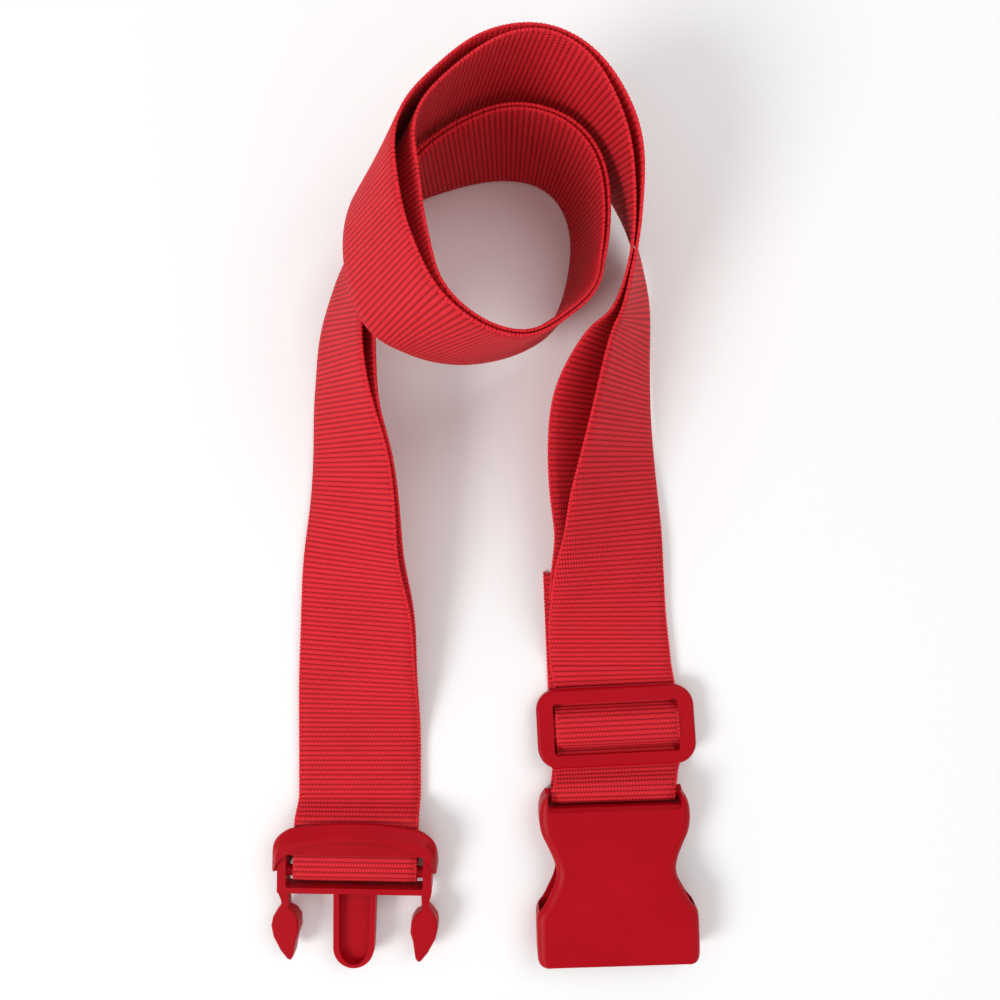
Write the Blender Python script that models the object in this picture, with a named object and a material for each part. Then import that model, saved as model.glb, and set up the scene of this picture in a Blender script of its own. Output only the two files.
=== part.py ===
"""A doubled webbing strap with a side-release buckle, lying coiled on a table.

One long band of webbing is laid double. Its ends are closed round the bars of the two buckle
halves: the plug at the lower left and the socket at the lower right. A tri-glide slider holds
the webbing above the socket. Metres, +Z up, the table is z = 0.
"""

import math

import bmesh
import bpy
import numpy as np
from mathutils import Matrix, Vector

MM = 0.001

# Webbing
WEBBING_WIDTH = 0.050
WEBBING_THICKNESS = 0.0015
PLY_GAP = 0.0003
CUT_GAP = 0.0003
SAMPLE_STEP = 0.0040

# Heights of the flat plies above the table, to the middle of each ply
PLY_PITCH = WEBBING_THICKNESS + PLY_GAP
LOW_PLY = WEBBING_THICKNESS / 2
HIGH_PLY = LOW_PLY + PLY_PITCH

# Both buckle halves
BUCKLE_HEIGHT = 0.015
SHELL_THICKNESS = 0.0026
INSERT_CLEARANCE = 0.0004
INSERT_HEIGHT = BUCKLE_HEIGHT - 2 * (SHELL_THICKNESS + INSERT_CLEARANCE)
BAR_RADIUS = 0.0022
BAR_CLEARANCE = 0.0003
BAR_ROOT = 0.0015
LOOP_RADIUS = BAR_RADIUS + BAR_CLEARANCE + WEBBING_THICKNESS / 2
LOOP_OUTSIDE = LOOP_RADIUS + WEBBING_THICKNESS / 2
SIDE_PLAY = 0.0013
LANE_WIDTH = WEBBING_WIDTH + 2 * SIDE_PLAY
BEYOND = 0.002

# Plug
PLUG_OFFSET = Vector((-0.0009, -0.0292))
PLUG_TURN = math.radians(-1.0)
WINDOW_PLAY = 0.0014
RAIL_WIDTH = 0.0035
INSERT_WIDTH = LANE_WIDTH + 2 * (WINDOW_PLAY + RAIL_WIDTH)
WINDOW_START = 0.0086
WINDOW_END = LOOP_OUTSIDE + 0.0016
CROSS_MEMBER = 0.0022
RAIL_LENGTH = WINDOW_END + CROSS_MEMBER
HOOD_OVERHANG = 0.0022
HOOD_WIDTH = INSERT_WIDTH + 2 * HOOD_OVERHANG
HOOD_START = 0.0018
HOOD_LENGTH = 0.0186
HOOD_UNDERCUT = 0.0042
HOOD_CORNER = 0.009
HOOD_CREST = 0.0140
HOOD_LIP = 0.0012
TONGUE_WIDTH = 0.0172
TONGUE_LENGTH = 0.0316
TONGUE_HEIGHT = 0.0050
PRONG_GAP = 0.0003
STEM_WIDTH = 0.0042
BARB_LENGTH = 0.0264
BARB_OUTREACH = 0.0030
BARB_WIDTH = 0.0112

# Socket
SOCKET_OFFSET = Vector((-0.0014, -0.0260))
SOCKET_TURN = math.radians(1.8)
SOCKET_LENGTH = 0.0695
SOCKET_WALL = 0.0012
SOCKET_EDGE_RADIUS = 0.0042
CAVITY_DEPTH = 0.044
EAR_HEIGHT = 0.0037
SHOULDER_WIDTH = LANE_WIDTH + 0.0088
WAIST_WIDTH = INSERT_WIDTH - 0.0140

# Tri-glide slider
SLIDER_OFFSET = Vector((0.0016, -0.0252))
SLIDER_TURN = math.radians(2.8)
SLIDER_TILT = math.radians(6.0)
SLIDER_PLAY = 0.00205
SLIDER_SIDE = 0.0052
SLIDER_WIDTH = WEBBING_WIDTH + 2 * (SLIDER_PLAY + SLIDER_SIDE)
SLIDER_LENGTH = 0.0318
SLIDER_CORNER = 0.0085
SLIDER_END_BAR = 0.0058
SLIDER_THICKNESS = 0.0036
SLIDER_UNDERSIDE = HIGH_PLY + WEBBING_THICKNESS / 2 + PLY_GAP
CENTRE_BAR_WIDTH = 0.0050
CENTRE_BAR_HEIGHT = 0.0032
CENTRE_BAR_DROP = 0.0024
WRAP_SHIFT = -0.0006
WRAP_REACH = SLIDER_LENGTH / 2 + 0.0006
TAIL_OFFSET = Vector((-0.0044, 0.0627))

# Where the zero of the route stands in the part's own frame
ORIGIN = Vector((0.0063, 0.0142, 0.0))

# The route of the front ply from the plug to the slider, in millimetres. Each station gives the
# lower edge of the webbing (x, y), its lift above lying on the table, how far the upper edge
# leans from it (x, y, in hundredths of the webbing's width), and the slack between the two plies
# at their lower and upper edges.
ROUTE = (
    (-83, -122, 0.3, 100, 2, 0.1, 0.1),
    (-83, -100, 0.3, 100, 2, 0.1, 0.2),
    (-83, -75, 0.3, 98, 2, 0.2, 0.6),
    (-82, -50, 0.1, 94, 6, 0.2, 1.6),
    (-81, -27, 0.1, 84, 4, 0.2, 2.2),
    (-78, -2, 0.1, 76, 4, 0.2, 0.8),
    (-77, 17, 0.1, 70, 2, 0.2, 0.2),
    (-77, 35, 0.1, 60, 0, 0.2, 0.6),
    (-76, 50, 0.1, 52, -2, 0.2, 3),
    (-75, 65, 0.1, 48, -6, 0.2, 3.8),
    (-71, 80, 0.4, 42, -8, 0.4, 3.2),
    (-65, 97, 0.4, 36, -8, 0.4, 2.2),
    (-55, 112, 0.4, 28, -8, 0.4, 1.2),
    (-43, 122, 0, 18, -2, 0.4, 0.6),
    (-30, 128, 0, 8, 4, 0.4, 0.4),
    (-14, 133, 0, 4, 12, 0.4, 0.4),
    (-2, 135, 0, 6, 18, 0.4, 0.4),
    (13, 134, 0, 6, 18, 0.4, 0.4),
    (23, 129, 0, 10, 18, 0.4, 0.6),
    (29, 120, 0, 16, 14, 0.4, 0.8),
    (32, 105, 0, 16, 6, 0.4, 0.6),
    (30, 90, 0, 18, 4, 0.4, 0.4),
    (25, 75, 4.3, 20, 12, 0.4, 0.4),
    (16, 65, 10.9, 32, 16, 0.4, 0.4),
    (4, 57, 19.7, 42, 16, 0.4, 0.6),
    (-13, 52, 29.6, 48, 6, 0.4, 1.2),
    (-26, 52, 37.5, 50, 6, 0.4, 1),
    (-37, 55, 44.3, 52, 8, 0.6, 0.6),
    (-46, 60, 48.1, 54, 12, 0.8, 1.4),
    (-52, 68, 49, 56, 12, 1, 3.7),
    (-56, 82, 48, 52, 12, 1.2, 5.7),
    (-57, 98, 46.1, 48, 12, 1.2, 6.7),
    (-54, 111, 43.5, 40, 10, 1.2, 6.2),
    (-45, 124, 39.8, 30, 10, 1.2, 3.2),
    (-33, 135, 35.9, 26, 12, 1.2, 2.2),
    (-20, 143, 31.8, 24, 20, 1.2, 2.7),
    (-8, 148, 27.9, 24, 22, 0.8, 1),
    (5, 149, 24, 24, 24, 0.4, 0.4),
    (18, 146, 21, 24, 20, 0.6, 1.2),
    (30, 139, 18.1, 20, 12, 1.2, 2.7),
    (39, 130, 15.4, 16, 4, 1.2, 3.2),
    (46, 120, 12.8, 6, -2, 1.2, 2.4),
    (52, 109, 9.6, -6, -10, 1.2, 1.8),
    (57, 97, 6.3, -18, -12, 1, 1.8),
    (60, 84, 3.6, -28, -12, 0.8, 2.4),
    (62, 71, 0.3, -38, -8, 0.6, 4.2),
    (62, 56, 0.3, -46, -4, 0.6, 11.2),
    (62, 42, 0.3, -52, -2, 0.6, 17.2),
    (63, 21, 0.5, -64, -2, 0.6, 16.2),
    (65, 0, 0.5, -78, -2, 0.6, 9.2),
    (66.5, -15, 0.5, -84, 2, 0.8, 3.6),
    (67, -28, 0.5, -91, 4, 0.6, 1.2),
    (68, -42, 0, -95.5, 4, 0.2, 0.4),
    (69.5, -56, 0, -99.2, 2, 0.2, 0.2),
    (70.3, -63, 0, -99.95, 0, 0.2, 0.2),
    (70.8, -68, 0, -100, 0, 0.2, 0.2),
)
LEFT_ARM_END = 10
FIRST_TURN_END = 22
SECOND_TURN_END = 43
BACK_PLY_END = 51
RIGHT_ARM_END = len(ROUTE) - 1


def clear_scene():
    for obj in list(bpy.data.objects):
        bpy.data.objects.remove(obj, do_unlink=True)


def material(name, colour, roughness, metallic=0.0):
    made = bpy.data.materials.new(name)
    made.use_nodes = True
    shader = made.node_tree.nodes["Principled BSDF"]
    shader.inputs["Base Color"].default_value = (*colour, 1.0)
    shader.inputs["Roughness"].default_value = roughness
    shader.inputs["Metallic"].default_value = metallic
    return made


def add_object(name, mesh, look, place=None):
    obj = bpy.data.objects.new(name, mesh)
    bpy.context.scene.collection.objects.link(obj)
    obj.data.materials.append(look)
    if place is not None:
        obj.matrix_world = place
    return obj


def mesh_from(name, bm):
    bmesh.ops.recalc_face_normals(bm, faces=bm.faces)
    mesh = bpy.data.meshes.new(name)
    bm.to_mesh(mesh)
    bm.free()
    return mesh


# ---------------------------------------------------------------- webbing


def hermite(stations, step):
    """Rows read every step along a smooth curve through the stations' rows."""
    rows = np.array(stations, float)
    along = np.r_[0, np.cumsum(np.linalg.norm(np.diff(rows[:, :3], axis=0), axis=1))]
    slopes = np.gradient(rows, along, axis=0)
    marks = []
    for k in range(len(rows) - 1):
        span = along[k + 1] - along[k]
        count = max(2, round(span / step))
        marks.extend(along[k] + span * j / count for j in range(count))
    marks.append(along[-1])
    found = []
    for s in marks:
        k = min(int(np.searchsorted(along, s, side="right")) - 1, len(rows) - 2)
        span = along[k + 1] - along[k]
        t = (s - along[k]) / span
        found.append(
            (2 * t**3 - 3 * t**2 + 1) * rows[k]
            + (t**3 - 2 * t**2 + t) * span * slopes[k]
            + (3 * t**2 - 2 * t**3) * rows[k + 1]
            + (t**3 - t**2) * span * slopes[k + 1]
        )
    return np.array(found), np.array(marks), along


def unit(rows):
    return rows / np.linalg.norm(rows, axis=1)[:, None]


def route_rows():
    """For each station: the lower edge, the lean to the upper edge and the two slacks."""
    rows = []
    for x, y, lift, lean_x, lean_y, slack_low, slack_high in ROUTE:
        flat = Vector((lean_x, lean_y)) / 100
        if flat.length > 1:
            flat.normalize()
        rise = math.sqrt(max(1 - flat.length_squared, 0.0))
        behind = PLY_PITCH + slack_low * MM
        height = (WEBBING_THICKNESS / 2 + behind) * flat.length + lift * MM
        place = Vector((x, y, 0)) * MM + ORIGIN
        rows.append((place.x, place.y, height, *flat, rise, slack_low * MM, slack_high * MM))
    return rows


def frames(middles, leans):
    """The middles with the unit directions across the webbing and out of its front face."""
    along = unit(np.gradient(middles, axis=0))
    across = unit(leans - (leans * along).sum(1)[:, None] * along)
    return middles, across, np.cross(across, along)


def plies():
    """For the front and the back ply: the frames, then the marks and stations along the route."""
    rows, marks, stations = hermite(route_rows(), SAMPLE_STEP)
    leans = rows[:, 3:6]
    leans[:, 2] = np.maximum(leans[:, 2], 0)
    leans = unit(leans)
    middles, across, normals = frames(rows[:, :3] + leans * WEBBING_WIDTH / 2, leans)
    half = across * WEBBING_WIDTH / 2
    low = middles - half - normals * (PLY_PITCH + rows[:, 6:7])
    high = middles + half - normals * (PLY_PITCH + rows[:, 7:8])
    return (middles, across, normals), frames((low + high) / 2, high - low), marks, stations


def plug_place(front):
    middle = Vector(front[0][0]).xy + PLUG_OFFSET
    return part_place((*middle, BUCKLE_HEIGHT / 2), PLUG_TURN)


def slider_centre(front):
    return Vector(front[0][-1]).xy + SLIDER_OFFSET


def slider_place(front):
    """The slider's frame on the table, tipped up towards the socket about its far edge."""
    hinge = Matrix.Translation((0, WRAP_REACH + CUT_GAP, 0))
    tilt = hinge @ Matrix.Rotation(-SLIDER_TILT, 4, "X") @ hinge.inverted()
    return part_place((*slider_centre(front), 0.0), SLIDER_TURN) @ tilt


def socket_place(front):
    return part_place((*(slider_centre(front) + SOCKET_OFFSET), BUCKLE_HEIGHT / 2), SOCKET_TURN)


def strip_mesh(name, middles, across, normals=None):
    """A closed band of the webbing's section swept along the middles."""
    if normals is None:
        normals = unit(np.cross(across, unit(np.gradient(middles, axis=0))))
    half_width, half_thickness = WEBBING_WIDTH / 2, WEBBING_THICKNESS / 2
    bm = bmesh.new()
    rings = []
    for p, a, n in zip(middles, across, normals):
        corners = (
            p - a * half_width - n * half_thickness,
            p + a * half_width - n * half_thickness,
            p + a * half_width + n * half_thickness,
            p - a * half_width + n * half_thickness,
        )
        rings.append([bm.verts.new(c) for c in corners])
    for first, second in zip(rings, rings[1:]):
        for k in range(4):
            j = (k + 1) % 4
            bm.faces.new((first[k], first[j], second[j], second[k]))
    bm.faces.new(rings[0])
    bm.faces.new(rings[-1])
    return mesh_from(name, bm)


def trimmed(tables, marks, start, end):
    """The rows of a ply's tables between two marks, with exact ends."""
    inside = (marks > start + 1e-4) & (marks < end - 1e-4)
    found = []
    for table in tables:
        ends = [[np.interp(mark, marks, table[:, k]) for k in range(3)] for mark in (start, end)]
        found.append(np.vstack([ends[0], table[inside], ends[1]]))
    return found


def add_plies(front, back, marks, stations, look):
    cuts = (
        ("left_arm", 0, LEFT_ARM_END),
        ("first_turn", LEFT_ARM_END, FIRST_TURN_END),
        ("second_turn", FIRST_TURN_END, SECOND_TURN_END),
        ("right_arm", SECOND_TURN_END, None),
    )
    for side, ply, last in (("front", front, RIGHT_ARM_END), ("back", back, BACK_PLY_END)):
        for place, first, final in cuts:
            start = stations[first] + CUT_GAP / 2
            end = stations[last if final is None else final] - CUT_GAP / 2
            name = f"webbing_{place}_{side}"
            add_object(name, strip_mesh(name, *trimmed(ply, marks, start, end)), look)


def profile_strip(name, profile, place, look, x=0.0):
    """A band that follows a profile of (y, z) points in the frame of a buckle part."""
    points = np.array([(x, y, z) for y, z in profile])
    across = np.tile((1.0, 0.0, 0.0), (len(points), 1))
    return add_object(name, strip_mesh(name, points, across), look, place)


def ease(t):
    t = min(max(t, 0.0), 1.0)
    return t * t * (3 - 2 * t)


def loop_profile(front_end, back_end, steps=10):
    """Round the bar: in along the front, half a turn, and out along the back."""
    profile = [front_end]
    for k in range(steps + 1):
        angle = math.pi / 2 + math.pi * k / steps
        profile.append((LOOP_RADIUS * math.cos(angle), LOOP_RADIUS * math.sin(angle)))
    profile.append(back_end)
    return profile


# ---------------------------------------------------------------- moulded parts


def outline_prism(name, outline, low, high):
    """A closed prism on a plan outline of (x, y) points, from z = low to z = high."""
    bm = bmesh.new()
    base = bm.faces.new([bm.verts.new((x, y, low)) for x, y in outline])
    made = bmesh.ops.extrude_face_region(bm, geom=[base])
    lifted = [v for v in made["geom"] if isinstance(v, bmesh.types.BMVert)]
    bmesh.ops.translate(bm, verts=lifted, vec=(0, 0, high - low))
    return mesh_from(name, bm)


def box_mesh(name, low, high):
    outline = ((low[0], low[1]), (high[0], low[1]), (high[0], high[1]), (low[0], high[1]))
    return outline_prism(name, outline, low[2], high[2])


def bar_mesh(name, radius, half_length, centre=(0.0, 0.0, 0.0), sides=16):
    bm = bmesh.new()
    turn = Matrix.Translation(centre) @ Matrix.Rotation(math.pi / 2, 4, "Y")
    bmesh.ops.create_cone(
        bm,
        cap_ends=True,
        segments=sides,
        radius1=radius,
        radius2=radius,
        depth=2 * half_length,
        matrix=turn,
    )
    return mesh_from(name, bm)


def rounded_rectangle(half_x, low_y, high_y, low_radius, high_radius, steps=5):
    """A plan outline with rounded corners, counterclockwise from the lower right."""
    points = []
    corners = (
        (1, low_y, low_radius, -90),
        (1, high_y, high_radius, 0),
        (-1, high_y, high_radius, 90),
        (-1, low_y, low_radius, 180),
    )
    for side, y, radius, first in corners:
        centre_x = side * (half_x - radius)
        centre_y = y + (radius if y == low_y else -radius)
        for k in range(steps + 1):
            angle = math.radians(first + 90 * k / steps)
            points.append(
                (centre_x + radius * math.cos(angle), centre_y + radius * math.sin(angle))
            )
    return points


def cutter(name, mesh, place):
    obj = bpy.data.objects.new(name, mesh)
    bpy.context.scene.collection.objects.link(obj)
    obj.matrix_world = place
    obj.hide_render = True
    obj.display_type = "WIRE"
    return obj


def combine(obj, mesh, operation):
    """Adds or cuts another closed mesh, which stands in the same frame as obj."""
    tool = cutter(f"{obj.name}_{operation.lower()}_{len(obj.modifiers)}", mesh, obj.matrix_world)
    modifier = obj.modifiers.new(tool.name, "BOOLEAN")
    modifier.operation = operation
    modifier.solver = "EXACT"
    modifier.object = tool


def bevel(obj, width, segments=2, angle=50):
    modifier = obj.modifiers.new("edges", "BEVEL")
    modifier.width = width
    modifier.segments = segments
    modifier.limit_method = "ANGLE"
    modifier.angle_limit = math.radians(angle)


def part_place(centre, turn):
    return Matrix.Translation(centre) @ Matrix.Rotation(turn, 4, "Z")


def socket_outline():
    """The hourglass plan of the socket, right side then left, from the mouth to the ears."""
    mouth = INSERT_WIDTH / 2 + INSERT_CLEARANCE + SOCKET_WALL
    shoulder = SHOULDER_WIDTH / 2
    waist = WAIST_WIDTH / 2
    side = (
        (mouth - 0.0040, -SOCKET_LENGTH),
        (mouth - 0.0012, -SOCKET_LENGTH + 0.0012),
        (mouth, -SOCKET_LENGTH + 0.0042),
        (mouth, -0.0490),
        (mouth - 0.0009, -0.0460),
        (waist + 0.0042, -0.0404),
        (waist + 0.0011, -0.0350),
        (waist, -0.0295),
        (waist + 0.0008, -0.0255),
        (shoulder - 0.0030, -0.0199),
        (shoulder - 0.0009, -0.0150),
        (shoulder, -0.0090),
        (shoulder - 0.0003, -0.0040),
        (shoulder - 0.0014, 0.0000),
        (shoulder - 0.0034, EAR_HEIGHT - 0.0008),
        (shoulder - 0.0046, EAR_HEIGHT),
    )
    return list(side) + [(-x, y) for x, y in reversed(side)]


def add_socket(place, look):
    half = BUCKLE_HEIGHT / 2
    mesh = outline_prism("socket", socket_outline(), -half, half)
    socket = add_object("socket", mesh, look, place)
    bevel(socket, SOCKET_EDGE_RADIUS, segments=3, angle=60)
    cavity = (INSERT_WIDTH / 2 + INSERT_CLEARANCE, INSERT_HEIGHT / 2 + INSERT_CLEARANCE)
    low = (-cavity[0], -SOCKET_LENGTH - BEYOND, -cavity[1])
    high = (cavity[0], -SOCKET_LENGTH + CAVITY_DEPTH, cavity[1])
    combine(socket, box_mesh("cavity", low, high), "DIFFERENCE")
    notch = LANE_WIDTH / 2
    low = (-notch, -LOOP_OUTSIDE - 2 * BAR_CLEARANCE, -BUCKLE_HEIGHT)
    high = (notch, EAR_HEIGHT + BEYOND, BUCKLE_HEIGHT)
    combine(socket, box_mesh("notch", low, high), "DIFFERENCE")
    combine(socket, bar_mesh("bar", BAR_RADIUS, notch + BAR_ROOT), "UNION")


def side_prism(name, profile, half_x):
    """A closed prism across a part, on a profile of (y, z) points."""
    bm = bmesh.new()
    base = bm.faces.new([bm.verts.new((-half_x, y, z)) for y, z in profile])
    made = bmesh.ops.extrude_face_region(bm, geom=[base])
    lifted = [v for v in made["geom"] if isinstance(v, bmesh.types.BMVert)]
    bmesh.ops.translate(bm, verts=lifted, vec=(2 * half_x, 0, 0))
    return mesh_from(name, bm)


def add_plug_body(place, look):
    half = BUCKLE_HEIGHT / 2
    hood = rounded_rectangle(HOOD_WIDTH / 2, HOOD_START, HOOD_LENGTH, 0.0004, HOOD_CORNER)
    body = add_object("plug_body", outline_prism("plug_body", hood, -half, half), look, place)
    insert = INSERT_HEIGHT / 2
    low = (-INSERT_WIDTH / 2, -RAIL_LENGTH, -insert)
    combine(
        body, box_mesh("frame", low, (INSERT_WIDTH / 2, HOOD_START + BAR_ROOT, insert)), "UNION"
    )
    window = LANE_WIDTH / 2 + WINDOW_PLAY
    low = (-window, -WINDOW_END, -half - BEYOND)
    opening = box_mesh("window", low, (window, WINDOW_START, half + BEYOND))
    combine(body, opening, "DIFFERENCE")
    slot_half = LOOP_OUTSIDE + BAR_CLEARANCE
    lane = LANE_WIDTH / 2
    slot = box_mesh("slot", (-lane, 0.0, -slot_half), (lane, HOOD_LENGTH + BEYOND, slot_half))
    combine(body, slot, "DIFFERENCE")
    end = HOOD_LENGTH + BEYOND
    slope = ((HOOD_CREST, half), (HOOD_LENGTH, slot_half + HOOD_LIP), (end, slot_half), (end, 2 * half))
    combine(body, side_prism("slope", (*slope, (HOOD_CREST, 2 * half)), HOOD_WIDTH), "DIFFERENCE")
    foot = HOOD_LENGTH - HOOD_UNDERCUT
    undercut = ((foot, -2 * half), (end, -2 * half), (end, 0.0), (HOOD_LENGTH, 0.0), (foot, -half))
    combine(body, side_prism("undercut", undercut, HOOD_WIDTH), "DIFFERENCE")
    combine(body, bar_mesh("bar", BAR_RADIUS, window + BAR_ROOT), "UNION")
    tongue = rounded_rectangle(
        TONGUE_WIDTH / 2, -RAIL_LENGTH - TONGUE_LENGTH, -RAIL_LENGTH + 0.001, 0.0060, 0.0002
    )
    thick = TONGUE_HEIGHT / 2
    combine(body, outline_prism("tongue", tongue, -thick, thick), "UNION")


def prong_outline():
    """The plan of the left prong from its root: a narrow stem and a barbed head."""
    outer = INSERT_WIDTH / 2
    inner = outer - STEM_WIDTH
    reach = outer + BARB_OUTREACH
    far = reach - BARB_WIDTH
    root = -RAIL_LENGTH - PRONG_GAP
    tip = root - BARB_LENGTH
    return [
        (-outer, root),
        (-outer + 0.0010, root - 0.0042),
        (-outer - 0.0006, root - 0.0062),
        (-reach, root - 0.0105),
        (-reach, root - 0.0147),
        (-reach + 0.0012, root - 0.0185),
        (-reach + 0.0045, root - 0.0237),
        (-reach + 0.0070, tip),
        (-reach + 0.0088, tip + 0.0006),
        (-far - 0.0012, root - 0.0190),
        (-far, root - 0.0150),
        (-far - 0.0002, root - 0.0105),
        (-far - 0.0012, root - 0.0070),
        (-inner + 0.0004, root - 0.0030),
        (-inner, root),
    ]


def add_prong(name, side, plug, look):
    """A prong with its origin on the line that it flexes about, at the middle of its root."""
    outline = prong_outline()
    middle_x = -(INSERT_WIDTH - STEM_WIDTH) / 2
    root_y = outline[0][1]
    local = [(side * (x - middle_x), y - root_y) for x, y in outline]
    insert = INSERT_HEIGHT / 2
    place = plug @ Matrix.Translation((side * middle_x, root_y, 0))
    prong = add_object(name, outline_prism(name, local, -insert, insert), look, place)
    bevel(prong, 0.0008, segments=2, angle=60)


def add_slider(place, look):
    half = SLIDER_LENGTH / 2
    frame = rounded_rectangle(SLIDER_WIDTH / 2, -half, half, SLIDER_CORNER, SLIDER_CORNER)
    mesh = outline_prism("tri_glide", frame, -CENTRE_BAR_DROP, SLIDER_THICKNESS)
    slider = add_object("tri_glide", mesh, look, place)
    bevel(slider, 0.0010, segments=2, angle=60)
    inner_x = SLIDER_WIDTH / 2 - SLIDER_SIDE
    inner_y = half - SLIDER_END_BAR
    over = SLIDER_THICKNESS + BEYOND
    under = -CENTRE_BAR_DROP - BEYOND
    window = box_mesh("window", (-inner_x, -inner_y, under), (inner_x, inner_y, over))
    combine(slider, window, "DIFFERENCE")
    low, high = (-inner_x, -half - BEYOND, under), (inner_x, half + BEYOND, 0.0)
    combine(slider, box_mesh("underside", low, high), "DIFFERENCE")
    bar = rounded_rectangle(CENTRE_BAR_WIDTH / 2, 0.0, CENTRE_BAR_HEIGHT, 0.0012, 0.0012, 3)
    profile = [(y, z - CENTRE_BAR_DROP) for y, z in bar]
    combine(slider, side_prism("centre_bar", profile, inner_x + BAR_ROOT), "UNION")


# ---------------------------------------------------------------- webbing round the hardware


def wrap_profile(offset, steps=26):
    """Up through the slider's slot, over its centre bar and down again, as (y, z) points."""
    bar_top = SLIDER_UNDERSIDE - CENTRE_BAR_DROP + CENTRE_BAR_HEIGHT
    crest = bar_top + 2 * PLY_GAP + WEBBING_THICKNESS / 2
    foot = SLIDER_LENGTH / 2 - SLIDER_END_BAR - 0.0014
    flat = CENTRE_BAR_WIDTH / 2 + 0.0004
    points = []
    for k in range(steps + 1):
        y = WRAP_REACH - 2 * WRAP_REACH * k / steps
        points.append((y, LOW_PLY + (crest - LOW_PLY) * ease((foot - abs(y)) / (foot - flat))))
    path = np.array(points)
    along = unit(np.gradient(path, axis=0))
    return path + offset * np.column_stack((along[:, 1], -along[:, 0]))


def add_wraps(place, look):
    for side, offset in (("back", 0.0), ("front", PLY_PITCH)):
        name = f"webbing_slider_wrap_{side}"
        profile_strip(name, wrap_profile(offset), place, look, WRAP_SHIFT)


def turned_x(angle):
    """The direction across a part that is turned on the table by this angle."""
    return np.array((math.cos(angle), math.sin(angle), 0.0))


def link_mesh(name, start, end, start_across, end_across, steps=10):
    """A short run of webbing between two ends, level at both, easing in height between them."""
    points, across = [], []
    for k in range(steps + 1):
        t = k / steps
        height = start.z + (end.z - start.z) * ease((t - 0.1) / 0.8)
        points.append((*start.lerp(end, t).xy, height))
        across.append(start_across * (1 - t) + end_across * t)
    return strip_mesh(name, np.array(points), unit(np.array(across)))


def add_socket_webbing(slider, socket, look):
    lead = 0.0020
    loop = loop_profile((lead, LOOP_RADIUS), (lead, -LOOP_RADIUS))
    profile_strip("webbing_socket_loop", loop, socket, look)
    edge = -WRAP_REACH - CUT_GAP
    for side, base, height in (("front", HIGH_PLY, LOOP_RADIUS), ("back", LOW_PLY, -LOOP_RADIUS)):
        start = slider @ Vector((WRAP_SHIFT, edge, base))
        end = socket @ Vector((0, lead + CUT_GAP, height))
        name = f"webbing_socket_link_{side}"
        mesh = link_mesh(name, start, end, turned_x(SLIDER_TURN), turned_x(SOCKET_TURN))
        add_object(name, mesh, look)


def add_arm_webbing(front, slider, look):
    """The flat runs between the right arm and the slider: the front ply and the short tail."""
    edge = WRAP_REACH + CUT_GAP
    start = slider @ Vector((WRAP_SHIFT, edge, HIGH_PLY))
    end = Vector(front[0][-1]) - Vector((0, CUT_GAP / 2, 0))
    direction = turned_x(SLIDER_TURN)
    name = "webbing_arm_link"
    add_object(name, link_mesh(name, start, end, direction, -front[1][-1]), look)
    start = slider @ Vector((WRAP_SHIFT, edge, LOW_PLY))
    end = Vector((*(slider_centre(front) + TAIL_OFFSET), LOW_PLY))
    name = "webbing_short_tail"
    add_object(name, link_mesh(name, start, end, direction, turned_x(0.0)), look)


def add_plug_webbing(front, back, plug, look):
    exit_y = HOOD_LENGTH + 0.0005
    front_exit = (exit_y, LOOP_RADIUS - 0.0010)
    back_exit = (exit_y, -LOOP_RADIUS)
    profile_strip("webbing_plug_loop", loop_profile(front_exit, back_exit), plug, look)
    for side, ply, leave in (("front", front, front_exit), ("back", back, back_exit)):
        start = plug @ Vector((0, leave[0] + CUT_GAP, leave[1]))
        end = Vector(ply[0][0]) - Vector((0, CUT_GAP / 2, 0))
        name = f"webbing_plug_bend_{side}"
        mesh = link_mesh(name, start, end, turned_x(PLUG_TURN), ply[1][0])
        add_object(name, mesh, look)


def build():
    clear_scene()
    webbing = material("red_webbing", (0.52, 0.012, 0.030), 0.75)
    moulding = material("red_moulding", (0.50, 0.004, 0.018), 0.40)
    front, back, marks, stations = plies()
    plug = plug_place(front)
    slider = slider_place(front)
    socket = socket_place(front)
    add_plies(front, back, marks, stations, webbing)
    add_plug_webbing(front, back, plug, webbing)
    add_wraps(slider, webbing)
    add_socket_webbing(slider, socket, webbing)
    add_arm_webbing(front, slider, webbing)
    add_socket(socket, moulding)
    add_plug_body(plug, moulding)
    add_prong("plug_prong_left", 1, plug, moulding)
    add_prong("plug_prong_right", -1, plug, moulding)
    add_slider(slider @ Matrix.Translation((0, 0, SLIDER_UNDERSIDE)), moulding)


build()
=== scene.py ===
"""A doubled and coiled webbing belt with a side-release buckle and a tri-glide slider."""

import math

import bmesh
import bpy
import numpy as np
from mathutils import Matrix, Vector


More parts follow.
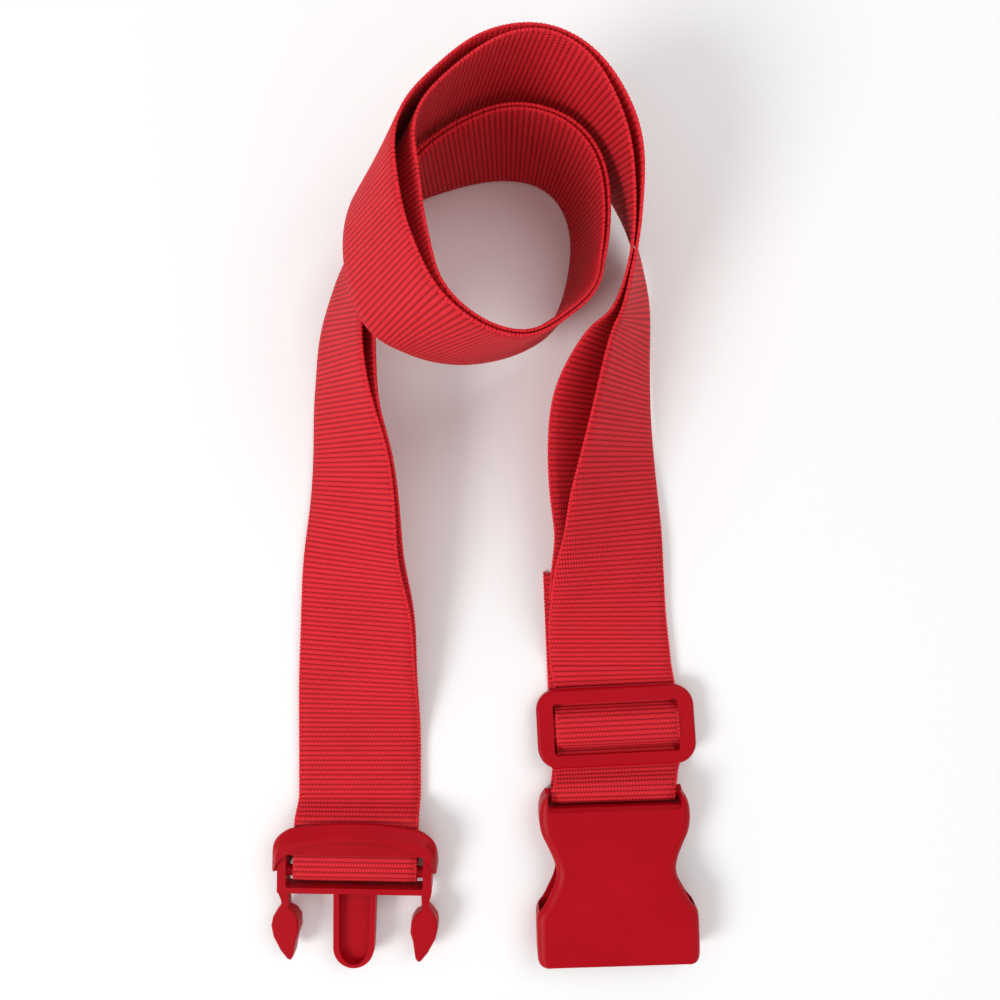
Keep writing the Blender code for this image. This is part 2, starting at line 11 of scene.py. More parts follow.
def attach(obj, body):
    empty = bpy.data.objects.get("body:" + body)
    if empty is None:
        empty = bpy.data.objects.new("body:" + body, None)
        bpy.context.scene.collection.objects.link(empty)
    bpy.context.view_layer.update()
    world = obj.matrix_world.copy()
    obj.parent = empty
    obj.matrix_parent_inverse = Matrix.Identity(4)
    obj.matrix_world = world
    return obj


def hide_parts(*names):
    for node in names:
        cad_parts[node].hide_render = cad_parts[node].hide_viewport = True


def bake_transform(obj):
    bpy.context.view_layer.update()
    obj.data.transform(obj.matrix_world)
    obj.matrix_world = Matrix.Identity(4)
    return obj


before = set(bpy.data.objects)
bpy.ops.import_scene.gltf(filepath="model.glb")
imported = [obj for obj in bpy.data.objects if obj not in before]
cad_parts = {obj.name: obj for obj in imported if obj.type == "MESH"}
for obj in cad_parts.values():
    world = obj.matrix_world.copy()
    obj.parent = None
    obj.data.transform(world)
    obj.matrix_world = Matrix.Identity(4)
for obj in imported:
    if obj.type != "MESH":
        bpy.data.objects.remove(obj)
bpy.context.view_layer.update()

# ---------------------------------------------------------------- webbing: the lie of the belt
# One band of 50 mm plain-woven red webbing, laid double. Each station gives, in millimetres, the
# lower edge of the front ply (x, y), its lift off the table, the lean of the upper edge in
# hundredths of the width (x, y), and the slack to the back ply at the lower and upper edges.

MM = 0.001
ORIGIN = Vector((0.0063, 0.0142, 0.0))
WIDTH = 0.050
THICKNESS = 0.0015
PLY_PITCH = THICKNESS + 0.0003
LOW_PLY = THICKNESS / 2
HIGH_PLY = LOW_PLY + PLY_PITCH

STATIONS = (
    (-83, -122, 0.3, 100, 2, 0.1, 0.1),
    (-83, -100, 0.3, 100, 2, 0.1, 0.2),
    (-83, -75, 0.3, 98, 2, 0.2, 0.6),
    (-82, -50, 0.1, 94, 6, 0.2, 1.6),
    (-81, -27, 0.1, 84, 4, 0.2, 2.2),
    (-78, -2, 0.1, 76, 4, 0.2, 0.8),
    (-77, 17, 0.1, 70, 2, 0.2, 0.2),
    (-77, 35, 0.1, 60, 0, 0.2, 0.6),
    (-76, 50, 0.1, 52, -2, 0.2, 3),
    (-75, 65, 0.1, 48, -6, 0.2, 3.8),
    (-71, 80, 0.4, 42, -8, 0.4, 3.2),
    (-65, 97, 0.4, 36, -8, 0.4, 2.2),
    (-55, 112, 0.4, 28, -8, 0.4, 1.2),
    (-43, 122, 0, 18, -2, 0.4, 0.6),
    (-30, 128, 0, 8, 4, 0.4, 0.4),
    (-14, 133, 0, 4, 12, 0.4, 0.4),
    (-2, 135, 0, 6, 18, 0.4, 0.4),
    (13, 134, 0, 6, 18, 0.4, 0.4),
    (23, 129, 0, 10, 18, 0.4, 0.6),
    (29, 120, 0, 16, 14, 0.4, 0.8),
    (32, 105, 0, 16, 6, 0.4, 0.6),
    (30, 90, 0, 18, 4, 0.4, 0.4),
    (25, 75, 4.3, 20, 12, 0.1, 0.1),
    (16, 65, 10.9, 32, 16, 0, 0),
    (4, 57, 19.7, 42, 16, 0, 0),
    (-13, 52, 29.6, 48, 6, 0, 0),
    (-26, 52, 37.5, 50, 6, 0, 0.2),
    (-37, 55, 44.3, 52, 8, 0.6, 0.6),
    (-46, 60, 48.1, 54, 12, 0.8, 1.4),
    (-52, 68, 49, 56, 12, 1, 3.7),
    (-56, 82, 48, 52, 12, 1.2, 5.7),
    (-57, 98, 46.1, 48, 12, 1.2, 6.7),
    (-54, 111, 43.5, 40, 10, 1.2, 6.2),
    (-45, 124, 39.8, 30, 10, 1.2, 3.2),
    (-33, 135, 35.9, 26, 12, 1.2, 2.2),
    (-20, 143, 31.8, 24, 20, 1.2, 2.7),
    (-8, 148, 27.9, 24, 22, 0.8, 1),
    (5, 149, 24, 24, 24, 0.4, 0.4),
    (18, 146, 21, 24, 20, 0.6, 1.2),
    (30, 139, 18.1, 20, 12, 1.2, 2.7),
    (39, 130, 15.4, 16, 4, 1.2, 3.2),
    (46, 120, 12.8, 6, -2, 0.8, 2),
    (52, 109, 9.6, -6, -10, 0, 0.6),
    (57, 97, 6.3, -18, -12, 0, 0),
    (60, 84, 3.6, -28, -12, 0, 0.8),
    (62, 71, 0.3, -38, -8, 0.6, 4.2),
    (62, 56, 0.3, -46, -4, 0.6, 11.2),
    (62, 42, 0.3, -52, -2, 0.6, 17.2),
    (63, 21, 0.5, -64, -2, 0.6, 16.2),
    (65, 0, 0.5, -78, -2, 0.6, 9.2),
    (66.5, -15, 0.5, -84, 2, 0.8, 3.6),
    (67, -28, 0.5, -91, 4, 0.6, 1.2),
    (68, -42, 0, -95.5, 4, 0.2, 0.4),
    (69.5, -56, 0, -99.2, 2, 0.2, 0.2),
    (70.3, -63, 0, -99.95, 0, 0.2, 0.2),
    (70.8, -68, 0, -100, 0, 0.2, 0.2),
)
BACK_PLY_END = 52
FLAT_START = 50
SOFTENING = 6.0


def unit(rows):
    return rows / np.linalg.norm(rows, axis=1)[:, None]


def ease(t):
    t = np.clip(t, 0.0, 1.0)
    return t * t * (3 - 2 * t)


def smooth_rows(rows, step):
    """Rows read every step along a smooth curve through the given ones."""
    along = np.r_[0, np.cumsum(np.linalg.norm(np.diff(rows[:, :3], axis=0), axis=1))]
    slopes = np.gradient(rows, along, axis=0)
    marks = np.linspace(0, along[-1], int(along[-1] / step))
    found = []
    for s in marks:
        k = min(int(np.searchsorted(along, s, side="right")) - 1, len(rows) - 2)
        span = along[k + 1] - along[k]
        t = (s - along[k]) / span
        found.append(
            (2 * t**3 - 3 * t**2 + 1) * rows[k]
            + (t**3 - 2 * t**2 + t) * span * slopes[k]
            + (3 * t**2 - 2 * t**3) * rows[k + 1]
            + (t**3 - t**2) * span * slopes[k + 1]
        )
    return np.array(found), marks, along


def laid_plies():
    """The middles and across directions of the front and the back ply, plug end first."""
    rows = []
    for x, y, lift, lean_x, lean_y, slack_low, slack_high in STATIONS:
        flat = Vector((lean_x, lean_y)) / 100
        if flat.length > 1:
            flat.normalize()
        rise = math.sqrt(max(1 - flat.length_squared, 0.0))
        height = (THICKNESS / 2 + PLY_PITCH + slack_low * MM) * flat.length + lift * MM
        place = Vector((x, y, 0)) * MM + ORIGIN
        rows.append((place.x, place.y, height, *flat, rise, slack_low * MM, slack_high * MM))
    rows, marks, along = smooth_rows(np.array(rows), 0.001)
    reach = np.arange(-18, 19)
    weights = np.exp(-(reach**2) / (2 * SOFTENING**2))
    inside = np.clip(np.arange(len(rows))[:, None] + reach, 0, len(rows) - 1)
    softened = (rows[inside] * weights[:, None]).sum(1) / weights.sum()
    near_end = ease(np.minimum(marks, marks[-1] - marks) / 0.020)[:, None]
    rows = rows + (softened - rows) * near_end
    leans = rows[:, 3:6]
    leans[:, 2] = np.maximum(leans[:, 2], 0)
    leans = unit(leans)
    middles = rows[:, :3] + leans * WIDTH / 2
    forward = unit(np.gradient(middles, axis=0))
    square = ease((along[FLAT_START] + 0.040 - marks) / 0.040)[:, None]
    across = unit(leans - square * (leans * forward).sum(1)[:, None] * forward)
    normals = unit(np.cross(across, forward))
    half = across * WIDTH / 2
    low = middles - half - normals * (THICKNESS + rows[:, 6:7])
    high = middles + half - normals * (THICKNESS + rows[:, 7:8])
    hidden = marks <= along[BACK_PLY_END]
    return (middles, across), ((low + high)[hidden] / 2, unit(high - low)[hidden])


front_ply, back_ply = laid_plies()


def turned(centre, angle):
    return Matrix.Translation(centre) @ Matrix.Rotation(angle, 4, "Z")


BUCKLE_HEIGHT = 0.015
BAR_RADIUS = 0.0022
LOOP_RADIUS = BAR_RADIUS + 0.0003 + THICKNESS / 2
HOOD_LENGTH = 0.0186
SLIDER_LENGTH = 0.0318
WRAP_REACH = SLIDER_LENGTH / 2 + 0.0006
FRONT_SHIFT, BACK_SHIFT = 0.0006, -0.0016
SLIDER_UNDERSIDE = HIGH_PLY + THICKNESS / 2 + 0.0003
plug_xy = Vector(front_ply[0][0]).xy + Vector((-0.0009, -0.0300))
slider_xy = Vector(front_ply[0][-1]).xy + Vector((0.0016, -0.0252))
socket_xy = slider_xy + Vector((-0.0014, -0.0260))
plug_place = turned((*plug_xy, BUCKLE_HEIGHT / 2), math.radians(-1.0))
socket_place = turned((*socket_xy, BUCKLE_HEIGHT / 2), math.radians(1.8))
slider_tip = Matrix.Translation((0, WRAP_REACH + 0.0003, 0))
slider_place = (
    turned((*slider_xy, 0.0), math.radians(2.8))
    @ slider_tip
    @ Matrix.Rotation(math.radians(-6.0), 4, "X")
    @ slider_tip.inverted()
)


def placed(profile, place, side, x=0.0):
    """A profile of (y, z) points set in a part's frame, with the direction across the webbing."""
    points = np.array([place @ Vector((x, y, z)) for y, z in profile])
    direction = np.array(place.col[0][:3]) * side
    return points, np.tile(direction, (len(points), 1))


def round_bar(lead, first, last, steps=26):
    """Half a turn round a bar, from above the bar to below it, with straight leads."""
    angles = [math.pi / 2 + math.pi * k / steps for k in range(steps + 1)]
    turn = [(LOOP_RADIUS * math.cos(a), LOOP_RADIUS * math.sin(a)) for a in angles]
    return [(lead, first)] + turn + [(lead, last)]


def over_centre_bar(offset, steps=60):
    """Up through the slider's slot, over its centre bar and down again."""
    crest = SLIDER_UNDERSIDE + 0.0008 + 0.0006 + THICKNESS / 2
    foot = SLIDER_LENGTH / 2 - 0.0072
    y = np.linspace(WRAP_REACH, -WRAP_REACH, steps)
    z = LOW_PLY + (crest - LOW_PLY) * ease((foot - abs(y)) / (foot - 0.0029))
    path = np.column_stack((y, z))
    forward = unit(np.gradient(path, axis=0))
    return path + offset * np.column_stack((forward[:, 1], -forward[:, 0]))


def between(start, end, steps=16):
    """A short run between two ends of webbing, level at both, easing in height between them."""
    (p, a), (q, b) = (start[0][-1], start[1][-1]), (end[0][0], end[1][0])
    t = np.linspace(0, 1, steps)[1:-1, None]
    points = p + (q - p) * t
    points[:, 2:] = p[2] + (q[2] - p[2]) * ease((t - 0.1) / 0.8)
    return points, unit(a + (b - a) * t)


lead = HOOD_LENGTH + 0.0005
plug_turn = placed(
    round_bar(lead, LOOP_RADIUS - 0.0010, -LOOP_RADIUS)[::-1], plug_place, 1
)
wrap_front = placed(over_centre_bar(PLY_PITCH), slider_place, -1, FRONT_SHIFT)
wrap_back = placed(over_centre_bar(0.0)[::-1], slider_place, -1, BACK_SHIFT)
socket_turn = placed(round_bar(0.0020, LOOP_RADIUS, -LOOP_RADIUS), socket_place, -1)
tail_end = slider_xy + Vector((-0.0044, 0.0627))
tail = (np.array([(*tail_end, LOW_PLY)]), np.array([(-1.0, 0.0, 0.0)]))
back_run = (back_ply[0][::-1], back_ply[1][::-1])

route = [back_run, None, plug_turn, None, front_ply, None, wrap_front, None, socket_turn]
route += [None, wrap_back, None, tail]
for k, run in enumerate(route):
    if run is None:
        steps = 120 if k == 11 else 30
        route[k] = between(route[k - 1], route[k + 1], steps)
starts = np.cumsum([0] + [len(run[0]) for run in route])
middles = np.vstack([run[0] for run in route])
across = np.vstack([run[1] for run in route])
measure = np.r_[0, np.cumsum(np.linalg.norm(np.diff(middles, axis=0), axis=1))]


def mark(run):
    """How far along the band a run of the route starts."""
    return measure[min(starts[run], len(measure) - 1)]


# ---------------------------------------------------------------- webbing: weave and mesh
# Plain-woven polyester: a thick weft makes ribs 2 mm apart straight across, and the warp covers
# them in short floats that step over by half from one rib to the next. On top of that pattern the
# colour carries painted light: a painted shade in the grooves between the ribs and a painted
# highlight on the crests of the floats.

RIB = 0.0020
RIB_HEIGHT = 0.00013
FLOAT = 0.00125
SECTION = 0.0005


class Wire:
    """A socket in a material, so that sums on it can be written as plain expressions."""

    def __init__(self, tree, socket):
        self.tree, self.socket = tree, socket

    def node(self, kind, sockets, output=0, **settings):
        made = self.tree.nodes.new(kind)
        for name, value in settings.items():
            setattr(made, name, value)
        for name, value in sockets.items():
            if isinstance(value, Wire):
                self.tree.links.new(value.socket, made.inputs[name])
            else:
                made.inputs[name].default_value = value
        return Wire(self.tree, made.outputs[output])

    def sum(self, operation, a, b=0.0):
        return self.node("ShaderNodeMath", {0: a, 1: b}, operation=operation)

    def __add__(self, other):
        return self.sum("ADD", self, other)

    def __sub__(self, other):
        return self.sum("SUBTRACT", self, other)

    def __rsub__(self, other):
        return self.sum("SUBTRACT", other, self)

    def __mul__(self, other):
        return self.sum("MULTIPLY", self, other)

    def __truediv__(self, other):
        return self.sum("DIVIDE", self, other)

    def __pow__(self, other):
        return self.sum("POWER", self, other)

    __radd__ = __add__
    __rmul__ = __mul__

    def mix(self, first, second):
        sockets = {0: self, 6: first, 7: second}
        return self.node("ShaderNodeMix", sockets, 2, data_type="RGBA")


def finish_of(name, roughness, sheen=0.0, specular=0.5):
    """A new material, with its shader and a wire to start expressions from."""
    made = bpy.data.materials.new(name)
    made.use_nodes = True
    shader = made.node_tree.nodes["Principled BSDF"]
    shader.inputs["Roughness"].default_value = roughness
    shader.inputs["Sheen Weight"].default_value = sheen
    shader.inputs["Sheen Roughness"].default_value = 0.4
    shader.inputs["Specular IOR Level"].default_value = specular
    return made, shader, Wire(made.node_tree, None)


webbing_look, shader, wire = finish_of("red_webbing", 0.66, sheen=0.02, specular=0.10)
uv = wire.node("ShaderNodeUVMap", {}, uv_map="weave")
split = uv.node("ShaderNodeSeparateXYZ", {0: uv})
along_uv = Wire(split.tree, split.socket.node.outputs[1])
rib = along_uv / RIB
row = rib.sum("FLOOR", rib)
crest = rib.sum("SINE", rib.sum("FRACT", rib) * math.pi)
slant = rib.sum("FRACT", rib) * 0.45
shifted = split / FLOAT + row.sum("FLOORED_MODULO", row, 2.0) * 0.5 + slant
floats = shifted.sum("SINE", shifted.sum("FRACT", shifted) * math.pi)
thread = (crest**0.55) * (0.45 + 0.55 * floats)
objects = wire.node("ShaderNodeTexCoord", {}, 3)
blotch = wire.node("ShaderNodeTexNoise", {"Vector": objects, "Scale": 55.0, "Detail": 3.0})
fuzz = wire.node("ShaderNodeTexNoise", {"Vector": objects, "Scale": 2200.0, "Detail": 2.0})
shade = thread * (0.80 + 0.25 * blotch) + 0.18 * fuzz
# Painted light: the weave is coloured from a painted shade in the grooves to a painted highlight on
# the floats.
painted_groove_shade = (0.085, 0.0002, 0.0016, 1)
painted_float_highlight = (0.840, 0.0260, 0.0390, 1)
colour = shade.mix(painted_groove_shade, painted_float_highlight)
bump = wire.node("ShaderNodeBump", {"Height": thread + 0.15 * fuzz, "Distance": 0.0003})
bump.socket.node.inputs["Strength"].default_value = 0.55
webbing_look.node_tree.links.new(colour.socket, shader.inputs["Base Color"])
webbing_look.node_tree.links.new(bump.socket, shader.inputs["Normal"])


def webbing_section(rib_phase):
    """One ring of the band as (across, outward) pairs, with a rounded, slightly ribbed edge."""
    columns = np.linspace(-1, 1, 13)[1:-1]
    top, bottom = [], []
    for c in columns:
        full = THICKNESS / 2 - RIB_HEIGHT - 0.00015 * abs(c) ** 12
        top.append((c * 0.985, full + RIB_HEIGHT * rib_phase))
        bottom.append((c * 0.985, -full + RIB_HEIGHT * rib_phase))
    edge = 1.0 + 0.004 * rib_phase
    right = [(edge - 0.010, THICKNESS * 0.33), (edge, 0.0), (edge - 0.010, -THICKNESS * 0.33)]
    left = [(-a, n) for a, n in reversed(right)]
    ring = top + right + bottom[::-1] + left
    return [(a * WIDTH / 2, n) for a, n in ring]


SELVAGE_STEP, SELVAGE_LENGTH, SELVAGE_THICK = 0.0015, 0.00145, 0.0013


def selvage_tree():
    """Small loops of weft thread set one after another along both edges of the webbing."""
    tree = bpy.data.node_groups.new("selvage", "GeometryNodeTree")
    face = tree.interface
    face.new_socket("Edges", in_out="INPUT", socket_type="NodeSocketGeometry")
    for label, size in (
        ("Step", SELVAGE_STEP), ("Loop length", SELVAGE_LENGTH), ("Loop thickness", SELVAGE_THICK)
    ):
        face.new_socket(label, in_out="INPUT", socket_type="NodeSocketFloat").default_value = size
    face.new_socket("Yarn", in_out="INPUT", socket_type="NodeSocketMaterial")
    face.new_socket("Loops", in_out="OUTPUT", socket_type="NodeSocketGeometry")
    add, link = tree.nodes.new, tree.links.new
    given, made = add("NodeGroupInput"), add("NodeGroupOutput")
    line, spaced = add("GeometryNodeMeshToCurve"), add("GeometryNodeResampleCurve")
    spaced.mode = "LENGTH"
    bead, size = add("GeometryNodeMeshIcoSphere"), add("ShaderNodeCombineXYZ")
    bead.inputs["Radius"].default_value, bead.inputs["Subdivisions"].default_value = 0.5, 2
    tangent, turn = add("GeometryNodeInputTangent"), add("FunctionNodeAlignRotationToVector")
    turn.axis = "Z"
    placed_loops, real = add("GeometryNodeInstanceOnPoints"), add("GeometryNodeRealizeInstances")
    smooth, dressed = add("GeometryNodeSetShadeSmooth"), add("GeometryNodeSetMaterial")
    link(given.outputs["Edges"], line.inputs["Mesh"])
    link(line.outputs["Curve"], spaced.inputs["Curve"])
    link(given.outputs["Step"], spaced.inputs["Length"])
    link(given.outputs["Loop thickness"], size.inputs["X"])
    link(given.outputs["Loop thickness"], size.inputs["Y"])
    link(given.outputs["Loop length"], size.inputs["Z"])
    link(tangent.outputs["Tangent"], turn.inputs["Vector"])
    link(spaced.outputs["Curve"], placed_loops.inputs["Points"])
    link(bead.outputs["Mesh"], placed_loops.inputs["Instance"])
    link(turn.outputs["Rotation"], placed_loops.inputs["Rotation"])
    link(size.outputs["Vector"], placed_loops.inputs["Scale"])
    link(placed_loops.outputs["Instances"], real.inputs["Geometry"])
    link(real.outputs["Geometry"], smooth.inputs["Geometry"])
    link(smooth.outputs["Geometry"], dressed.inputs["Geometry"])
    link(given.outputs["Yarn"], dressed.inputs["Material"])
    link(dressed.outputs["Geometry"], made.inputs["Loops"])
    return tree


selvage_nodes = selvage_tree()


def selvage(middle, sideways):
    """The loops along both edges of a piece, as one plain mesh with its weave map."""
    inset = WIDTH / 2 - 0.00040
    lines = [middle + sideways * side for side in (inset, -inset)]
    count = len(middle)
    edges = [(k, k + 1) for k in range(2 * count - 1) if k != count - 1]
    mesh = bpy.data.meshes.new("edges")
    mesh.from_pydata([tuple(v) for v in np.vstack(lines)], edges, [])
    holder = bpy.data.objects.new("edges", mesh)
    bpy.context.scene.collection.objects.link(holder)
    loops = holder.modifiers.new("selvage", "NODES")
    loops.node_group = selvage_nodes
    yarn = next(i for i in selvage_nodes.interface.items_tree if i.name == "Yarn")
    loops[yarn.identifier] = webbing_look
    graph = bpy.context.evaluated_depsgraph_get()
    made = bpy.data.meshes.new_from_object(holder.evaluated_get(graph))
    bpy.data.objects.remove(holder, do_unlink=True)
    # Every loop reads the weave at a rib's crest, so it takes the painted-highlight end of the
    # weave colour.
    layer = made.uv_layers.new(name="weave")
    layer.data.foreach_set("uv", np.tile((FLOAT / 2, RIB / 2), len(made.loops)))
    return made


def webbing_piece(name, start, end):
    """The band between two marks along the route, as one closed mesh with its weave map."""
    marks = np.linspace(start, end, max(4, int((end - start) / SECTION) + 1))
    p = np.column_stack([np.interp(marks, measure, middles[:, k]) for k in range(3)])
    a = np.column_stack([np.interp(marks, measure, across[:, k]) for k in range(3)])
    before = np.column_stack(
        [np.interp(marks + d, measure, middles[:, k]) for d in (-0.0012, 0.0012) for k in range(3)]
    )
    forward = unit(before[:, 3:] - before[:, :3])
    a = unit(a)
    n = unit(np.cross(a, forward))
    verts, maps = [], []
    for k, s in enumerate(marks):
        ring = webbing_section(-math.cos(2 * math.pi * s / RIB))
        for offset, out in ring:
            verts.append(p[k] + a[k] * offset + n[k] * out)
            maps.append((offset, s))
    count = len(ring)
    faces = []
    for k in range(len(marks) - 1):
        for j in range(count):
            i = (j + 1) % count
            faces.append((k * count + j, k * count + i, (k + 1) * count + i, (k + 1) * count + j))
    faces.append(tuple(range(count))[::-1])
    faces.append(tuple((len(marks) - 1) * count + j for j in range(count)))
    mesh = bpy.data.meshes.new(name)
    mesh.from_pydata([tuple(v) for v in verts], [], faces)
    bm = bmesh.new()
    bm.from_mesh(mesh)
    bmesh.ops.recalc_face_normals(bm, faces=bm.faces)
    bm.to_mesh(mesh)
    bm.free()
    layer = mesh.uv_layers.new(name="weave")
    corners = np.empty(len(mesh.loops), int)
    mesh.loops.foreach_get("vertex_index", corners)
    layer.data.foreach_set("uv", np.array(maps)[corners].ravel())
    mesh.shade_smooth()
    threads = selvage(p, a)
    bm = bmesh.new()
    bm.from_mesh(mesh)
    bm.from_mesh(threads)
    bm.to_mesh(mesh)
    bm.free()
    bpy.data.meshes.remove(threads)
    mesh.materials.append(webbing_look)
    piece = bpy.data.objects.new(name, mesh)
    bpy.context.scene.collection.objects.link(piece)
    return piece


# ---------------------------------------------------------------- webbing: the pieces
# The band is one length from its hidden end under the right arm, round the coil to the plug,
# back over the coil to the slider and the socket, and up to its short tail.

belt_back = webbing_piece("belt_back", mark(0), mark(2))
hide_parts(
    "webbing_left_arm_back",
    "webbing_first_turn_back",
    "webbing_second_turn_back",
    "webbing_right_arm_back",
    "webbing_plug_bend_back",
)
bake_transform(belt_back)

belt_round_plug_bar = webbing_piece("belt_round_plug_bar", mark(2), mark(3))
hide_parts("webbing_plug_loop")
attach(belt_round_plug_bar, "plug")

belt_front = webbing_piece("belt_front", mark(3), mark(5))
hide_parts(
    "webbing_left_arm_front",
    "webbing_first_turn_front",
    "webbing_second_turn_front",
    "webbing_right_arm_front",
    "webbing_plug_bend_front",
)
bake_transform(belt_front)

belt_into_slider = webbing_piece("belt_into_slider", mark(5), mark(6))
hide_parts("webbing_arm_link")
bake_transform(belt_into_slider)

belt_over_slider_bar = webbing_piece("belt_over_slider_bar", mark(6), mark(7))
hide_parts("webbing_slider_wrap_front")
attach(belt_over_slider_bar, "slider")

belt_to_socket = webbing_piece("belt_to_socket", mark(7), mark(8))
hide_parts("webbing_socket_link_front")
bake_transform(belt_to_socket)

belt_round_socket_bar = webbing_piece("belt_round_socket_bar", mark(8), mark(9))
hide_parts("webbing_socket_loop")
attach(belt_round_socket_bar, "strap")

belt_from_socket = webbing_piece("belt_from_socket", mark(9), mark(10))
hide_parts("webbing_socket_link_back")
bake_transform(belt_from_socket)

belt_under_wrap = webbing_piece("belt_under_wrap", mark(10), mark(11))
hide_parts("webbing_slider_wrap_back")
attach(belt_under_wrap, "slider")

belt_short_tail = webbing_piece("belt_short_tail", mark(11), measure[-1])
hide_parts("webbing_short_tail")
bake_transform(belt_short_tail)

# ---------------------------------------------------------------- socket
# The female half of the buckle: a flat hourglass shell of red acetal, moulded in one with the
# cross bar that the webbing goes round, open at the mouth and through both side windows.

INSERT_WIDTH = 0.0624
INSERT_HEIGHT = 0.0090
LANE = WIDTH + 0.0026
SOCKET_LENGTH = 0.0684
BEYOND = 0.002

moulding_look, shader, wire = finish_of("red_moulding", 0.40, specular=0.11)
objects = wire.node("ShaderNodeTexCoord", {}, 3)
cloud = wire.node("ShaderNodeTexNoise", {"Vector": objects, "Scale": 38.0, "Detail": 4.0})
grain = wire.node("ShaderNodeTexNoise", {"Vector": objects, "Scale": 1900.0, "Detail": 1.0})
scuffs = wire.node(
    "ShaderNodeTexNoise", {"Vector": objects, "Scale": 320.0, "Detail": 5.0, "Roughness": 0.75}
)
dark_skin, light_skin = (0.300, 0.0003, 0.0045, 1), (0.520, 0.0018, 0.0105, 1)
tint = (cloud * 0.55 + grain * 0.25 + 0.1).mix(dark_skin, light_skin)
moulding_look.node_tree.links.new(tint.socket, shader.inputs["Base Color"])
dull = 0.30 + 0.12 * cloud + 0.12 * scuffs
moulding_look.node_tree.links.new(dull.socket, shader.inputs["Roughness"])
skin = wire.node("ShaderNodeBump", {"Height": grain + 0.3 * scuffs, "Distance": 0.00005})
skin.socket.node.inputs["Strength"].default_value = 0.25
moulding_look.node_tree.links.new(skin.socket, shader.inputs["Normal"])


def rounded_through(corners, steps=5):
    """A smooth closed outline through the given plan points, without overshoot."""
    points = [Vector(c) for c in corners]
    count = len(points)
    slopes = []
    for k in range(count):
        before, after = points[k] - points[k - 1], points[(k + 1) % count] - points[k]
        slopes.append((before + after).normalized() * min(before.length, after.length))
    found = []
    for k in range(count):
        a, b = points[k], points[(k + 1) % count]
        for j in range(steps):
            t = j / steps
            p = (2 * t**3 - 3 * t**2 + 1) * a + (3 * t**2 - 2 * t**3) * b
            leave, arrive = slopes[k], slopes[(k + 1) % count]
            found.append(p + (t**3 - 2 * t**2 + t) * leave + (t**3 - t**2) * arrive)
    return [tuple(p) for p in found]


def layered(rings):
    """A closed body on a stack of rings of equally many points, from the bottom up."""
    bm = bmesh.new()
    made = [[bm.verts.new(p) for p in ring] for ring in rings]
    count = len(made[0])
    for low, high in zip(made, made[1:]):
        for k in range(count):
            j = (k + 1) % count
            bm.faces.new((low[k], low[j], high[j], high[k]))
    bm.faces.new(made[0][::-1])
    bm.faces.new(made[-1])
    bmesh.ops.recalc_face_normals(bm, faces=bm.faces)
    mesh = bpy.data.meshes.new("body")
    bm.to_mesh(mesh)
    bm.free()
    return mesh


def slab(outline, low, high):
    return layered([[(x, y, z) for x, y in outline] for z in (low, high)])


def rounded_box(half_x, low_y, high_y, radius, steps=6):
    points = []
    for side, y, first in ((1, low_y, -90), (1, high_y, 0), (-1, high_y, 90), (-1, low_y, 180)):
        centre_x = side * (half_x - radius)
        centre_y = y + (radius if y == low_y else -radius)
        for k in range(steps + 1):
            a = math.radians(first + 90 * k / steps)
            points.append((centre_x + radius * math.cos(a), centre_y + radius * math.sin(a)))
    return points


def cross_bar(half_length, radius, y=0.0, z=0.0, sides=32, squash=1.0):
    rings = []
    for x in (-half_length, half_length):
        turn = [2 * math.pi * k / sides for k in range(sides)]
        rings.append(
            [(x, y + radius * math.cos(a), z + radius * squash * math.sin(a)) for a in turn]
        )
    return layered(rings)


ROUNDED_ABOVE = math.radians(60)


def moulded(name, base, steps, place, edge=0.0004, first_round=0.0):
    """A moulded piece: a rounded base, joined with and cut by other shapes, then softened."""
    blank = bpy.data.objects.new(name + "_blank", base)
    bpy.context.scene.collection.objects.link(blank)
    if first_round:
        soft = blank.modifiers.new("round", "BEVEL")
        soft.width, soft.segments = first_round, 7
        soft.limit_method, soft.angle_limit = "ANGLE", ROUNDED_ABOVE
    tools = []
    for operation, mesh in steps:
        tool = bpy.data.objects.new("tool", mesh)
        bpy.context.scene.collection.objects.link(tool)
        tools.append(tool)
        step = blank.modifiers.new("step", "BOOLEAN")
        step.operation, step.solver, step.object = operation, "EXACT", tool
    if edge:
        soft = blank.modifiers.new("edge", "BEVEL")
        soft.width, soft.segments = edge, 3
        soft.limit_method, soft.angle_limit = "ANGLE", math.radians(35)
        soft.use_clamp_overlap = True
    graph = bpy.context.evaluated_depsgraph_get()
    mesh = bpy.data.meshes.new_from_object(blank.evaluated_get(graph))
    for old in (blank, *tools):
        bpy.data.objects.remove(old, do_unlink=True)
    mesh.name = name
    mesh.transform(place)
    mesh.shade_smooth()
    mesh.set_sharp_from_angle(angle=math.radians(32))
    mesh.materials.clear()
    mesh.materials.append(moulding_look)
    piece = bpy.data.objects.new(name, mesh)
    bpy.context.scene.collection.objects.link(piece)
    even = piece.modifiers.new("flat faces shade flat", "WEIGHTED_NORMAL")
    even.keep_sharp, even.weight = True, 90
    graph = bpy.context.evaluated_depsgraph_get()
    piece.data = bpy.data.meshes.new_from_object(piece.evaluated_get(graph))
    piece.modifiers.clear()
    return piece


